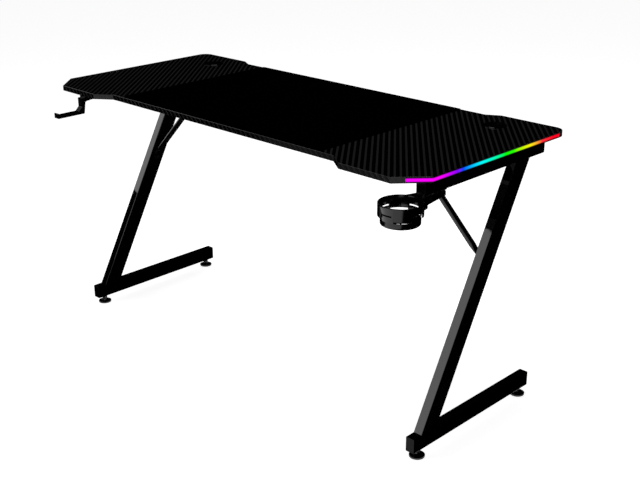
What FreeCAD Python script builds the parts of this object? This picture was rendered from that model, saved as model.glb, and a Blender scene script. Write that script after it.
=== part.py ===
"""Gaming desk: a board with lit edges on two Z-shaped steel frames.

Frame: X to the right, Y to the back, Z up, in millimetres. The origin is on the floor, under the
middle of the whole desk, counting the cup holder that reaches past the board's front edge.
"""
import FreeCAD, Part
import os
import re
import Sketcher

doc = FreeCAD.newDocument("gaming_desk")
sheet = doc.addObject("Spreadsheet::Sheet", "sizes")

SIZES = {
    # Board: overall size, cut front corners, recessed middles of the front and rear edges
    "desk_height": 735,
    "board_width": 1400,
    "board_depth": 600,
    "board_thick": 15,
    "corner_cut_width": 64,
    "corner_cut_depth": 68,
    "board_edge_round": 1,
    "front_wing_width": 220,
    "front_recess_inset": 267,
    "front_recess_depth": 34,
    "rear_wing_width": 198,
    "rear_recess_inset": 236,
    "rear_recess_depth": 21,
    "rear_corner_radius": 30,
    # Mouse mat on the middle of the board
    "mat_side_inset": 311,
    "mat_thick": 2.5,
    "mat_inset": 2.5,
    "mat_corner_radius": 6,
    # Light strips: groove in the board's edge, diffuser in its mouth, strip on its floor
    "groove_height": 11,
    "groove_depth": 9,
    "groove_start_share": 0.35,
    "groove_rear_margin": 34,
    "diffuser_thick": 6,
    "strip_height": 8,
    "strip_thick": 2,
    # Cable grommets: flanged ring in the board and a cap that turns in it
    "grommet_from_side": 152,
    "grommet_from_rear": 94,
    "grommet_flange_radius": 30,
    "grommet_flange_thick": 2,
    "grommet_flange_chamfer": 0.8,
    "grommet_sleeve_radius": 27,
    "grommet_sleeve_wall": 2,
    "grommet_sleeve_depth": 13,
    "grommet_ledge_width": 2,
    "grommet_ledge_thick": 1.5,
    "grommet_cap_thick": 3,
    "grommet_notch_width": 18,
    "grommet_notch_depth": 16,
    "grommet_turn_gap": 0.3,
    "grommet_hole_gap": 0.25,
    # Z-frames: rectangular steel tube, slanted leg between a foot bar and a top beam
    "frame_side_inset": 32,
    "frame_rear_inset": 52,
    "frame_front_inset": 77,
    "tube_width": 20,
    "tube_height": 38,
    "tube_wall": 1.5,
    "tube_round": 2,
    "foot_reach": 10,
    "ground_gap": 22,
    "leg_run": 54,
    "leg_foot_setback": 31,
    "leg_head_setback": 62,
    # Plastic plugs in the open ends of the tubes
    "end_plate_thick": 3,
    "end_plug_length": 6.5,
    "end_plug_gap": 0.2,
    # Crossbeam between the frames, with a welded flange at each end
    "crossbeam_from_rear": 267,
    "flange_thick": 3,
    "flange_length": 70,
    "flange_bolt_spacing": 48,
    # Braces: round tube with flattened, bent ends
    "brace_radius": 8.5,
    "brace_tab_width": 20,
    "brace_tab_thick": 3,
    "brace_tab_length": 26,
    "brace_flat_length": 34,
    "brace_bolt_share": 0.548,
    "brace_reach": 228,
    # Threaded fasteners
    "frame_bolt_radius": 3,
    "frame_bolt_length": 16,
    "frame_bolt_head_radius": 5.5,
    "frame_bolt_head_height": 3.5,
    "board_screw_radius": 2.5,
    "board_screw_grip": 10,
    "board_screw_head_radius": 5.5,
    "board_screw_head_height": 3,
    "board_screw_front_share": 0.25,
    "board_screw_middle_share": 0.42,
    "board_screw_rear_share": 0.94,
    "crossbeam_screw_span": 400,
    "small_screw_radius": 2,
    "small_screw_grip": 10,
    "small_screw_head_radius": 3.8,
    "small_screw_head_height": 2.2,
    "screw_gap": 0.25,
    "screw_tip_gap": 0.5,
    # Levelling feet: swivel pad, threaded stud with a hexagon, nut welded under the foot bar
    "foot_front_inset": 29,
    "foot_rear_inset": 25,
    "foot_pad_radius": 20,
    "foot_pad_rim": 4,
    "foot_pad_chamfer": 1,
    "foot_pad_hub_radius": 10,
    "foot_pad_height": 10,
    "foot_socket_depth": 5,
    "foot_stud_radius": 4,
    "foot_stud_length": 46,
    "foot_hex_radius": 7.5,
    "foot_nut_height": 6,
    "foot_thread_gap": 0.05,
    # Cup holder: cup with an open floor, four pillars, hoop with four tabs, arm under the right-hand beam
    "cup_inset": 10,
    "cup_reach_forward": 54,
    "cup_ring_radius": 52,
    "cup_wall": 3,
    "cup_step": 6,
    "cup_rise": 2.5,
    "cup_height": 51,
    "cup_base_height": 14.5,
    "cup_base_round": 4,
    "cup_hoop_height": 3,
    "cup_tab_height": 30,
    "cup_tab_lap": 1,
    "cup_slot_width": 39.5,
    "cup_window_drop": 18.5,
    "cup_window_height": 4,
    "cup_window_width": 27,
    "cup_floor_thick": 3,
    "cup_floor_margin": 9,
    "cup_spoke_width": 4,
    "cup_edge_round": 1,
    "cup_arm_thick": 8,
    "cup_arm_length": 122,
    "cup_arm_root_width": 92,
    "cup_arm_tip_width": 30,
    "cup_flank_wall": 4,
    "cup_flank_start_share": 0.2,
    "cup_flank_end_share": 0.385,
    "cup_rib_width": 6,
    "cup_rib_share": 0.75,
    "cup_spacer_height": 8.5,
    "cup_spacer_flange_radius": 14.5,
    "cup_spacer_flange_thick": 3,
    "cup_spacer_neck_radius": 8,
    "cup_spacer_setback": 10.5,
    "cup_spacer_pitch": 52,
    "cup_screw_radius": 2.5,
    "cup_screw_grip": 8,
    "cup_screw_head_radius": 4.5,
    "cup_screw_head_height": 3,
    # Headset hook under the front end of the left-hand beam
    "hook_post_forward": 10,
    "hook_reach": 85.5,
    "hook_drop": 47.5,
    "hook_thick": 9,
    "hook_post_depth": 13,
    "hook_foot_depth": 7,
    "hook_root_depth": 13,
    "hook_root_length": 11,
    "hook_plate_thick": 9,
    "hook_plate_margin": 10,
    "hook_lip_height": 15.5,
    "hook_lip_depth": 4.5,
    "hook_gusset": 12,
    "hook_edge_round": 1.5,
    # Light controller screwed under the board
    "case_from_side": 180,
    "case_from_front": 80,
    "case_width": 90,
    "case_depth": 46,
    "case_height": 20,
    "case_wall": 2,
    "case_round": 3,
    "case_lug_width": 12,
    "case_lug_length": 12,
    "case_base_thick": 2.5,
    "circuit_thick": 1.6,
    "circuit_gap": 0.5,
    "circuit_post_height": 4,
    "circuit_post_radius": 2.5,
    "circuit_post_inset": 4,
    "button_radius": 5,
    "button_gap": 0.3,
    "button_proud": 3,
    "button_flange_radius": 6.2,
    "button_flange_thick": 1.2,
    "button_travel": 1.5,
    "button_place_share": 0.25,
    "switch_width": 8,
    "switch_height": 6,
    "inlet_width": 12,
    "inlet_height": 7,
    "inlet_depth": 9,
    "inlet_opening_width": 9,
    "inlet_opening_height": 3.4,
    "inlet_gap": 0.2,
    # How far a cutting tool runs past the face that it cuts
    "overrun": 2,
}

for row, (alias, size) in enumerate(SIZES.items(), start=1):
    sheet.set(f"A{row}", str(size))
    sheet.setAlias(f"A{row}", alias)
doc.recompute()

pieces = []


def spell(text):
    """An expression in the sheet's aliases, with each alias written as a reference to the sheet."""
    return re.sub(r"[a-z_]+", lambda word: f"sizes.{word[0]}" if word[0] in SIZES else word[0], text)


def value(text):
    """The number that such an expression gives now."""
    return float(sheet.evalExpression(spell(text)))


def bind(target, **properties):
    """Binds properties of an object to expressions in the sheet's aliases."""
    for name, text in properties.items():
        target.setExpression(name, spell(text))


def place(target, spot):
    """Binds the origin of an object's placement to three expressions."""
    for axis, text in zip("xyz", spot):
        target.setExpression(f"Placement.Base.{axis}", spell(text))


def piece(target, label):
    """Makes an object a sub-part of the desk, under its own label."""
    target.Label = label
    pieces.append(target)
    return target


def box(name, low, size):
    """A box from its lowest corner and its three sides."""
    solid = doc.addObject("Part::Box", name)
    bind(solid, Length=size[0], Width=size[1], Height=size[2])
    place(solid, low)
    return solid


TURNS = {
    "x": FreeCAD.Rotation(FreeCAD.Vector(0, 1, 0), 90),
    "y": FreeCAD.Rotation(FreeCAD.Vector(1, 0, 0), -90),
    "z": FreeCAD.Rotation(),
    "-x": FreeCAD.Rotation(FreeCAD.Vector(0, 1, 0), -90),
    "-y": FreeCAD.Rotation(FreeCAD.Vector(1, 0, 0), 90),
    "-z": FreeCAD.Rotation(FreeCAD.Vector(1, 0, 0), 180),
}


def rod(name, radius, start, length, along="z"):
    """A round rod from the middle of its first face, along one axis."""
    solid = doc.addObject("Part::Cylinder", name)
    bind(solid, Radius=radius, Height=length)
    solid.Placement = FreeCAD.Placement(FreeCAD.Vector(), TURNS[along])
    place(solid, start)
    return solid


def polygon(body, name, plane, outlines, offset="0"):
    """A sketch of closed outlines on an origin plane, with every corner bound to the sheet."""
    sketch = body.newObject("Sketcher::SketchObject", name)
    support = [feature for feature in body.Origin.OriginFeatures if feature.Role == plane]
    sketch.AttachmentSupport = [(support[0], "")]
    sketch.MapMode = "FlatFace"
    sketch.setExpression("AttachmentOffset.Base.z", spell(offset))
    for corners in outlines:
        first = sketch.GeometryCount
        spots = [FreeCAD.Vector(value(across), value(up), 0) for across, up in corners]
        for start, end in zip(spots, spots[1:] + spots[:1]):
            sketch.addGeometry(Part.LineSegment(start, end))
        lines = list(range(first, sketch.GeometryCount))
        for line, after in zip(lines, lines[1:] + lines[:1]):
            sketch.addConstraint(Sketcher.Constraint("Coincident", line, 2, after, 1))
        for line, spot, corner in zip(lines, spots, corners):
            for kind, size, text in (("DistanceX", spot.x, corner[0]), ("DistanceY", spot.y, corner[1])):
                made = sketch.addConstraint(Sketcher.Constraint(kind, -1, 1, line, 1, size))
                sketch.setExpression(f"Constraints[{made}]", spell(text))
    return sketch


def prism(name, plane, outlines, offset, length, backwards=False):
    """A body padded from closed outlines on a plane; holes are further outlines."""
    body = doc.addObject("PartDesign::Body", name)
    sketch = polygon(body, f"{name}_outline", plane, outlines, offset)
    pad = body.newObject("PartDesign::Pad", f"{name}_pad")
    pad.Profile = sketch
    pad.Reversed = backwards
    bind(pad, Length=length)
    return body


def rounded(body, radius, chosen):
    """Rounds those edges of a body that the test chooses by their middle point and direction."""
    doc.recompute()
    tip = body.Tip
    names = []
    for number, edge in enumerate(tip.Shape.Edges, start=1):
        middle = edge.valueAt((edge.FirstParameter + edge.LastParameter) / 2)
        run = edge.Vertexes[-1].Point - edge.Vertexes[0].Point
        if chosen(middle, run):
            names.append(f"Edge{number}")
    fillet = body.newObject("PartDesign::Fillet", f"{body.Name}_round")
    fillet.Base = (tip, names)
    bind(fillet, Radius=radius)
    return body


def along_x(middle, run):
    return abs(run.y) + abs(run.z) < abs(run.x) / 1000


def along_y(middle, run):
    return abs(run.x) + abs(run.z) < abs(run.y) / 1000


def along_z(middle, run):
    return abs(run.x) + abs(run.y) < abs(run.z) / 1000


def turned(name, corners, spot):
    """A body turned about an upright axis through a spot, from a half section (radius, height)."""
    body = doc.addObject("PartDesign::Body", name)
    sketch = polygon(body, f"{name}_section", "XZ_Plane", [corners])
    turn = body.newObject("PartDesign::Revolution", f"{name}_turn")
    turn.Profile = sketch
    turn.ReferenceAxis = (sketch, ["V_Axis"])
    turn.Angle = 360
    place(body, spot)
    return body


def cut(name, base, tools):
    """A solid with tools taken away; the tools may overlap each other."""
    solid = doc.addObject("Part::Cut", name)
    solid.Base = base
    solid.Tool = tools[0] if len(tools) == 1 else fused(f"{name}_tools", tools)
    return solid


def fused(name, solids):
    """Several solids joined into one."""
    solid = doc.addObject("Part::MultiFuse", name)
    solid.Shapes = solids
    return solid


def group(name, solids):
    """Separate solids kept together as one node."""
    members = doc.addObject("Part::Compound", name)
    members.Links = solids
    return members


def mirrored(name, source):
    """The left-hand twin of a right-hand piece."""
    twin = doc.addObject("Part::Mirroring", name)
    twin.Source = source
    twin.Base = FreeCAD.Vector(0, 0, 0)
    twin.Normal = FreeCAD.Vector(1, 0, 0)
    return twin


def pair(source, name):
    """Hands a right-hand piece and its left-hand twin in as sub-parts."""
    piece(source, f"right_{name}")
    piece(mirrored(f"left_{name}_twin", source), f"left_{name}")


def bolt(name, head, along, kind, length):
    """A bolt whose head sits against the face at its spot, with the shank running on from there."""
    back = along[1:] if along.startswith("-") else f"-{along}"
    shank = rod(f"{name}_shank", f"{kind}_radius", head, length, along)
    top = rod(f"{name}_head", f"{kind}_head_radius", head, f"{kind}_head_height", back)
    return fused(name, [shank, top])


def bore(name, start, along, kind, length):
    """The hole for such a bolt, wider by the screw gap."""
    return rod(name, f"{kind}_radius + screw_gap", start, length, along)


def rectangle(left, low, right, high):
    return [(left, low), (right, low), (right, high), (left, high)]


# Places that several pieces share
side_x = "board_width / 2"
middle_y = "((cup_reach_forward + cup_ring_radius - frame_front_inset) / 2)"
front_y = f"({middle_y} - board_depth / 2)"
rear_y = f"({middle_y} + board_depth / 2)"
under_z = "(desk_height - board_thick)"
frame_x = f"({side_x} - frame_side_inset - tube_width / 2)"
frame_inner_x = f"({side_x} - frame_side_inset - tube_width)"
frame_rear_y = f"({rear_y} - frame_rear_inset)"
beam_length = "(board_depth - frame_front_inset - frame_rear_inset)"
beam_front_y = f"({front_y} + frame_front_inset)"
beam_low_z = f"({under_z} - tube_height)"
beam_middle_z = f"({under_z} - tube_height / 2)"
bar_front_y = f"({beam_front_y} - foot_reach)"
bar_top_z = "(ground_gap + tube_height)"
cross_y = f"({rear_y} - crossbeam_from_rear)"
flange_bolt_ys = [f"({cross_y} {sign} flange_bolt_spacing / 2)" for sign in "-+"]
brace_head_x = f"({frame_inner_x} - brace_reach)"
grommet_x = f"({side_x} - grommet_from_side)"
grommet_y = f"({rear_y} - grommet_from_rear)"
cup_x = f"({frame_x} - cup_inset)"
cup_y = f"({beam_front_y} - cup_reach_forward)"
cup_arm_top_z = f"({beam_low_z} - cup_spacer_height)"
cup_top_z = f"({cup_arm_top_z} + cup_rise)"
cup_base_z = f"({cup_top_z} - cup_height)"
spacer_front_y = f"({beam_front_y} + end_plate_thick + end_plug_length + cup_spacer_setback)"
spacer_ys = [spacer_front_y, f"({spacer_front_y} + cup_spacer_pitch)"]
hook_x = f"(-{frame_x})"
hook_post_y = f"({beam_front_y} - hook_post_forward)"
case_x = f"({side_x} - case_from_side - case_width)"
case_y = f"({front_y} + case_from_front)"
case_low_z = f"({under_z} - case_height)"
case_lug_xs = [f"({case_x} - case_lug_length / 2)", f"({case_x} + case_width + case_lug_length / 2)"]
case_middle_y = f"({case_y} + case_depth / 2)"

SIDES = (("right", 1), ("left", -1))
board_screw_spots = []
for side, sign in SIDES:
    for order in ("front", "middle", "rear"):
        along_beam = f"{beam_front_y} + {beam_length} * board_screw_{order}_share"
        board_screw_spots.append((f"{side}_{order}", f"{sign} * {frame_x}", along_beam))
for side, sign in SIDES:
    board_screw_spots.append((f"{side}_cross", f"{sign} * crossbeam_screw_span / 2", cross_y))


# Light strips follow the cut corner and the side of the board, at a depth from its edge

corner_cut_length = "sqrt(corner_cut_width ^ 2 + corner_cut_depth ^ 2)"
corner_half_turn = f"(({corner_cut_length} - corner_cut_depth) / corner_cut_width)"


def edge_line(depth):
    """Three corners along the board's right-hand edge, moved inwards by a depth."""
    start_x = f"{side_x} - corner_cut_width * (1 - groove_start_share)"
    start_y = f"{front_y} + corner_cut_depth * groove_start_share"
    inwards = f"({depth}) / {corner_cut_length}"
    return [
        (f"{start_x} - corner_cut_depth * {inwards}", f"{start_y} + corner_cut_width * {inwards}"),
        (f"{side_x} - ({depth})", f"{front_y} + corner_cut_depth + ({depth}) * {corner_half_turn}"),
        (f"{side_x} - ({depth})", f"{rear_y} - groove_rear_margin"),
    ]


def edge_band(name, outer, inner, height):
    """A band along the right-hand edge between two depths, in the middle of the board's thickness."""
    outline = edge_line(outer) + edge_line(inner)[::-1]
    low = f"{under_z} + (board_thick - {height}) / 2"
    return prism(name, "XY_Plane", [outline], low, height)


groove = edge_band("right_groove", "-overrun", "groove_depth", "groove_height")
pair(edge_band("light_diffuser", "0", "diffuser_thick", "groove_height"), "light_diffuser")
pair(edge_band("light_strip", "groove_depth - strip_thick", "groove_depth", "strip_height"), "light_strip")


# Board

right_edge = [
    (f"{side_x} - front_recess_inset", f"{front_y} + front_recess_depth"),
    (f"{side_x} - front_wing_width", front_y),
    (f"{side_x} - corner_cut_width", front_y),
    (side_x, f"{front_y} + corner_cut_depth"),
    (side_x, rear_y),
    (f"{side_x} - rear_wing_width", rear_y),
    (f"{side_x} - rear_recess_inset", f"{rear_y} - rear_recess_depth"),
]
left_edge = [(f"-({across})", back) for across, back in right_edge[::-1]]
board_blank = prism("board_blank", "XY_Plane", [right_edge + left_edge], under_z, "board_thick")
rounded(
    board_blank,
    "rear_corner_radius",
    lambda middle, run: along_z(middle, run)
    and abs(middle.x) > value(f"{side_x} - rear_corner_radius")
    and middle.y > value(f"{rear_y} - rear_corner_radius"),
)
rounded(board_blank, "board_edge_round", lambda middle, run: not along_z(middle, run))
board_tools = [groove, mirrored("left_groove", groove)]
for side, sign in SIDES:
    board_tools.append(
        rod(
            f"{side}_grommet_hole",
            "grommet_sleeve_radius + grommet_hole_gap",
            (f"{sign} * {grommet_x}", grommet_y, f"{under_z} - overrun"),
            "board_thick + 2 * overrun",
        )
    )
board_hole_depth = "board_screw_grip + screw_tip_gap + overrun"
small_hole_depth = "small_screw_grip + screw_tip_gap + overrun"
for name, across, back in board_screw_spots:
    start = (across, back, f"{under_z} - overrun")
    board_tools.append(bore(f"{name}_board_hole", start, "z", "board_screw", board_hole_depth))
for number, across in enumerate(case_lug_xs):
    start = (across, case_middle_y, f"{under_z} - overrun")
    board_tools.append(bore(f"case_hole_{number}", start, "z", "small_screw", small_hole_depth))
piece(cut("board", board_blank, board_tools), "tabletop_board")


# Mouse mat

mat = prism(
    "mat",
    "XY_Plane",
    [
        rectangle(
            f"mat_side_inset - {side_x}",
            f"{front_y} + front_recess_depth + mat_inset",
            f"{side_x} - mat_side_inset",
            f"{rear_y} - rear_recess_depth - mat_inset",
        )
    ],
    "desk_height",
    "mat_thick",
)
piece(rounded(mat, "mat_corner_radius", along_z), "mouse_mat")


# Cable grommets

grommet_bore = "(grommet_sleeve_radius - grommet_sleeve_wall)"
ledge_top = "(grommet_flange_thick - grommet_cap_thick)"
ring_section = [
    (f"{grommet_bore} - grommet_ledge_width", f"{ledge_top} - grommet_ledge_thick"),
    (grommet_bore, f"{ledge_top} - grommet_ledge_thick"),
    (grommet_bore, "-grommet_sleeve_depth"),
    ("grommet_sleeve_radius", "-grommet_sleeve_depth"),
    ("grommet_sleeve_radius", "0"),
    ("grommet_flange_radius", "0"),
    ("grommet_flange_radius", "grommet_flange_thick - grommet_flange_chamfer"),
    ("grommet_flange_radius - grommet_flange_chamfer", "grommet_flange_thick"),
    (grommet_bore, "grommet_flange_thick"),
    (grommet_bore, ledge_top),
    (f"{grommet_bore} - grommet_ledge_width", ledge_top),
]
grommet_ring = turned("grommet_ring", ring_section, (grommet_x, grommet_y, "desk_height"))
pair(grommet_ring, "grommet_ring")

cap_radius = f"({grommet_bore} - grommet_turn_gap)"
cap_low_z = f"(desk_height + {ledge_top})"
cap_disc = rod("cap_disc", cap_radius, (grommet_x, grommet_y, cap_low_z), "grommet_cap_thick")
notch_end_y = f"({grommet_y} + {cap_radius} - grommet_notch_depth + grommet_notch_width / 2)"
notch_low_z = f"({cap_low_z} - overrun)"
notch_height = "grommet_cap_thick + 2 * overrun"
notch_slot = box(
    "notch_slot",
    (f"{grommet_x} - grommet_notch_width / 2", notch_end_y, notch_low_z),
    ("grommet_notch_width", "grommet_notch_depth", notch_height),
)
notch_spot = (grommet_x, notch_end_y, notch_low_z)
notch_round = rod("notch_round", "grommet_notch_width / 2", notch_spot, notch_height)
pair(cut("grommet_cap", cap_disc, [notch_slot, notch_round]), "grommet_cap")


# Z-frames

tube_section = rectangle("-tube_width / 2", "0", "tube_width / 2", "tube_height")
tube_hollow = rectangle(
    "tube_wall - tube_width / 2", "tube_wall", "tube_width / 2 - tube_wall", "tube_height - tube_wall"
)


def long_tube(name, front, low, length):
    """A rectangular tube along Y, under the frame's middle plane, without its end plugs."""
    tube = prism(name, "XZ_Plane", [tube_section, tube_hollow], "0", f"{length} - 2 * end_plate_thick", True)
    place(tube, (frame_x, f"{front} + end_plate_thick", low))
    inside = value("tube_width / 2 - tube_wall / 2")
    return rounded(tube, "tube_round", lambda middle, run: along_y(middle, run) and abs(middle.x) > inside)


wall_cut = "tube_wall + 2 * overrun"
beam_tools = []
for order in ("front", "middle", "rear"):
    along_beam = f"{beam_front_y} + {beam_length} * board_screw_{order}_share"
    start = (frame_x, along_beam, f"{beam_low_z} - overrun")
    beam_tools.append(bore(f"beam_{order}_hole", start, "z", "board_screw", "tube_height + 2 * overrun"))
for number, back in enumerate(spacer_ys):
    start = (frame_x, back, f"{beam_low_z} - overrun")
    beam_tools.append(bore(f"beam_cup_hole_{number}", start, "z", "cup_screw", wall_cut))
for number, back in enumerate(flange_bolt_ys):
    start = (f"{frame_inner_x} - overrun", back, beam_middle_z)
    beam_tools.append(bore(f"beam_flange_hole_{number}", start, "x", "frame_bolt", wall_cut))
top_beam = long_tube("top_beam_tube", beam_front_y, beam_low_z, beam_length)
pair(cut("top_beam", top_beam, beam_tools), "top_beam")

foot_ys = {
    "front": f"({bar_front_y} + foot_front_inset)",
    "rear": f"({frame_rear_y} - foot_rear_inset)",
}
stud_bore = "foot_stud_radius + foot_thread_gap"
bar_tools = [
    rod(f"bar_{order}_hole", stud_bore, (frame_x, back, "ground_gap - overrun"), wall_cut)
    for order, back in foot_ys.items()
]
foot_bar = long_tube("foot_bar_tube", bar_front_y, "ground_gap", f"{beam_length} + foot_reach")
pair(cut("foot_bar", foot_bar, bar_tools), "foot_bar")

leg_foot_y = f"({bar_front_y} + leg_foot_setback)"
leg_head_y = f"({frame_rear_y} - leg_head_setback - leg_run)"
leg_lean = f"(({leg_head_y} - {leg_foot_y}) / ({beam_low_z} - {bar_top_z}))"
leg_wall_run = f"(tube_wall * sqrt(1 + {leg_lean} ^ 2))"


def slanted(name, inset, beyond, offset, thick):
    """The leg's slanted outline, moved in at its front and rear faces and run on past its ends."""
    low_y = f"{leg_foot_y} - ({beyond}) * {leg_lean}"
    high_y = f"{leg_head_y} + ({beyond}) * {leg_lean}"
    outline = [
        (f"{low_y} + {inset}", f"{bar_top_z} - ({beyond})"),
        (f"{low_y} + leg_run - {inset}", f"{bar_top_z} - ({beyond})"),
        (f"{high_y} + leg_run - {inset}", f"{beam_low_z} + {beyond}"),
        (f"{high_y} + {inset}", f"{beam_low_z} + {beyond}"),
    ]
    return prism(name, "YZ_Plane", [outline], offset, thick)


leg_blank = slanted("leg_blank", "0", "0", frame_inner_x, "tube_width")
rounded(
    leg_blank,
    "tube_round",
    lambda middle, run: abs(run.x) < abs(run.z) / 1000 and abs(run.z) > value("leg_run"),
)
leg_inside = (f"{frame_inner_x} + tube_wall", "tube_width - 2 * tube_wall")
leg_hollow = slanted("leg_hollow", leg_wall_run, "overrun", *leg_inside)
brace_bolt_y = f"({cross_y} - {leg_foot_y} - leg_run * brace_bolt_share)"
brace_bolt_z = f"({bar_top_z} + {brace_bolt_y} / {leg_lean})"
leg_hole_start = (f"{frame_inner_x} - overrun", cross_y, brace_bolt_z)
leg_hole = bore("leg_brace_hole", leg_hole_start, "x", "frame_bolt", wall_cut)
pair(cut("leg", leg_blank, [leg_hollow, leg_hole]), "leg")


# End plugs: a rounded plate over the tube's end and a plug inside it

plug_hollow = rectangle(
    "tube_wall + end_plug_gap - tube_width / 2",
    "tube_wall + end_plug_gap",
    "tube_width / 2 - tube_wall - end_plug_gap",
    "tube_height - tube_wall - end_plug_gap",
)


def end_plug(name, end, low, inwards):
    """One end plug; inwards is 1 where the tube runs on towards +Y, and -1 at its rear end."""
    plate = prism(f"{name}_plate", "XZ_Plane", [tube_section], "0", "end_plate_thick", inwards > 0)
    rounded(plate, "tube_round", along_y)
    place(plate, (frame_x, end, low))
    stem = prism(f"{name}_stem", "XZ_Plane", [plug_hollow], "0", "end_plug_length", inwards > 0)
    place(stem, (frame_x, f"{end} + {inwards} * end_plate_thick", low))
    return fused(name, [plate, stem])


end_plugs = [
    end_plug("beam_front_plug", beam_front_y, beam_low_z, 1),
    end_plug("beam_rear_plug", frame_rear_y, beam_low_z, -1),
    end_plug("bar_front_plug", bar_front_y, "ground_gap", 1),
    end_plug("bar_rear_plug", frame_rear_y, "ground_gap", -1),
]
pair(group("end_plugs", end_plugs), "tube_end_plugs")


# Crossbeam under the board, with a bolted flange at each end

cross_end_x = f"({frame_inner_x} - flange_thick)"
cross_section = [tube_section, tube_hollow]
cross_tube = prism("cross_tube", "YZ_Plane", cross_section, f"-{cross_end_x}", f"2 * {cross_end_x}")
place(cross_tube, ("0", cross_y, beam_low_z))
rounded(
    cross_tube,
    "tube_round",
    lambda middle, run: along_x(middle, run) and abs(middle.y) > value("tube_width / 2 - tube_wall / 2"),
)
cross_tools = []
for side, sign in SIDES:
    start = (f"{sign} * crossbeam_screw_span / 2", cross_y, f"{beam_low_z} - overrun")
    cross_tools.append(bore(f"{side}_cross_hole", start, "z", "board_screw", "tube_height + 2 * overrun"))
    start = (f"{sign} * ({brace_head_x} - brace_tab_length / 2)", cross_y, f"{beam_low_z} - overrun")
    cross_tools.append(bore(f"{side}_cross_brace_hole", start, "z", "frame_bolt", wall_cut))
piece(cut("crossbeam", cross_tube, cross_tools), "crossbeam")

flange_plate = box(
    "flange_plate",
    (cross_end_x, f"{cross_y} - flange_length / 2", beam_low_z),
    ("flange_thick", "flange_length", "tube_height"),
)
flange_cut = "flange_thick + 2 * overrun"
flange_holes = []
frame_bolts = []
for number, back in enumerate(flange_bolt_ys):
    start = (f"{cross_end_x} - overrun", back, beam_middle_z)
    flange_holes.append(bore(f"flange_hole_{number}", start, "x", "frame_bolt", flange_cut))
    head = (cross_end_x, back, beam_middle_z)
    frame_bolts.append(bolt(f"frame_bolt_{number}", head, "x", "frame_bolt", "frame_bolt_length"))
right_flange = cut("right_flange", flange_plate, flange_holes)
piece(group("cross_flanges", [right_flange, mirrored("left_flange", right_flange)]), "crossbeam_flanges")

frame_bolts += [mirrored(f"left_{one.Name}", one) for one in frame_bolts]
piece(group("frame_bolt_set", frame_bolts), "frame_bolts")


# Braces: tabs on the leg and under the crossbeam, a flattened stretch at each end, round tube between

brace_foot_z = f"({brace_bolt_z} + brace_tab_length / 2)"
brace_low = (f"({frame_inner_x} - brace_tab_thick / 2)", brace_foot_z)
brace_high = (brace_head_x, f"({beam_low_z} - brace_tab_thick / 2)")
brace_run = f"({brace_low[0]} - {brace_high[0]})"
brace_rise = f"({brace_high[1]} - {brace_low[1]})"
brace_length = f"sqrt({brace_run} ^ 2 + {brace_rise} ^ 2)"
brace_lean = f"atan({brace_run} / {brace_rise})"


def brace_ring(name, wide, thick, distance):
    """A cross-section of the brace at a distance from its lower bend."""
    ring = doc.addObject("Part::Ellipse", name)
    bind(ring, MajorRadius=wide, MinorRadius=thick)
    turn = FreeCAD.Rotation(FreeCAD.Vector(0, 1, 0), -value(brace_lean))
    quarter = FreeCAD.Rotation(FreeCAD.Vector(0, 0, 1), 90)
    ring.Placement = FreeCAD.Placement(FreeCAD.Vector(), turn * quarter)
    along = f"({distance}) / {brace_length}"
    across = f"{brace_low[0]} - {brace_run} * {along}"
    place(ring, (across, cross_y, f"{brace_low[1]} + {brace_rise} * {along}"))
    return ring


def brace_stretch(name, rings):
    """One stretch of the brace through its cross-sections."""
    stretch = doc.addObject("Part::Loft", name)
    stretch.Sections = rings
    stretch.Solid = True
    stretch.Ruled = True
    return stretch


flat = ("brace_tab_width / 2", "brace_tab_thick / 2")
round_bar = ("brace_radius", "brace_radius")
brace_rings = [
    brace_ring("brace_low_flat", *flat, "0"),
    brace_ring("brace_low_round", *round_bar, "brace_flat_length"),
    brace_ring("brace_high_round", *round_bar, f"{brace_length} - brace_flat_length"),
    brace_ring("brace_high_flat", *flat, brace_length),
]
tab_front_y = f"({cross_y} - brace_tab_width / 2)"
low_tab_x = f"({frame_inner_x} - brace_tab_thick)"
high_tab_z = f"({beam_low_z} - brace_tab_thick)"
low_tab = box(
    "brace_low_tab",
    (low_tab_x, tab_front_y, f"{brace_foot_z} - brace_tab_length"),
    ("brace_tab_thick", "brace_tab_width", "brace_tab_length"),
)
high_tab = box(
    "brace_high_tab",
    (f"{brace_head_x} - brace_tab_length", tab_front_y, high_tab_z),
    ("brace_tab_length", "brace_tab_width", "brace_tab_thick"),
)
brace_bar = fused("brace_bar", [brace_stretch("brace_tube", brace_rings), low_tab, high_tab])
tab_cut = "brace_tab_thick + 2 * overrun"
low_hole_start = (f"{frame_inner_x} + overrun", cross_y, brace_bolt_z)
low_hole = bore("brace_low_hole", low_hole_start, "-x", "frame_bolt", tab_cut)
brace_bolt_x = f"({brace_head_x} - brace_tab_length / 2)"
high_hole_start = (brace_bolt_x, cross_y, f"{beam_low_z} + overrun")
high_hole = bore("brace_high_hole", high_hole_start, "-z", "frame_bolt", tab_cut)
pair(cut("brace", brace_bar, [low_hole, high_hole]), "brace")

low_head = (low_tab_x, cross_y, brace_bolt_z)
high_head = (brace_bolt_x, cross_y, high_tab_z)
brace_bolts = [
    bolt("brace_foot_bolt", low_head, "x", "frame_bolt", "frame_bolt_length"),
    bolt("brace_head_bolt", high_head, "z", "frame_bolt", "frame_bolt_length"),
]
brace_bolts += [mirrored(f"left_{one.Name}", one) for one in brace_bolts]
piece(group("brace_bolt_set", brace_bolts), "brace_bolts")


# Screws that hold the board on the frames and the crossbeam

board_screws = []
for name, across, back in board_screw_spots:
    head = (across, back, beam_low_z)
    length = "tube_height + board_screw_grip"
    board_screws.append(bolt(f"{name}_board_screw", head, "z", "board_screw", length))
piece(group("board_screw_set", board_screws), "board_screws")


# Levelling feet

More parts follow.
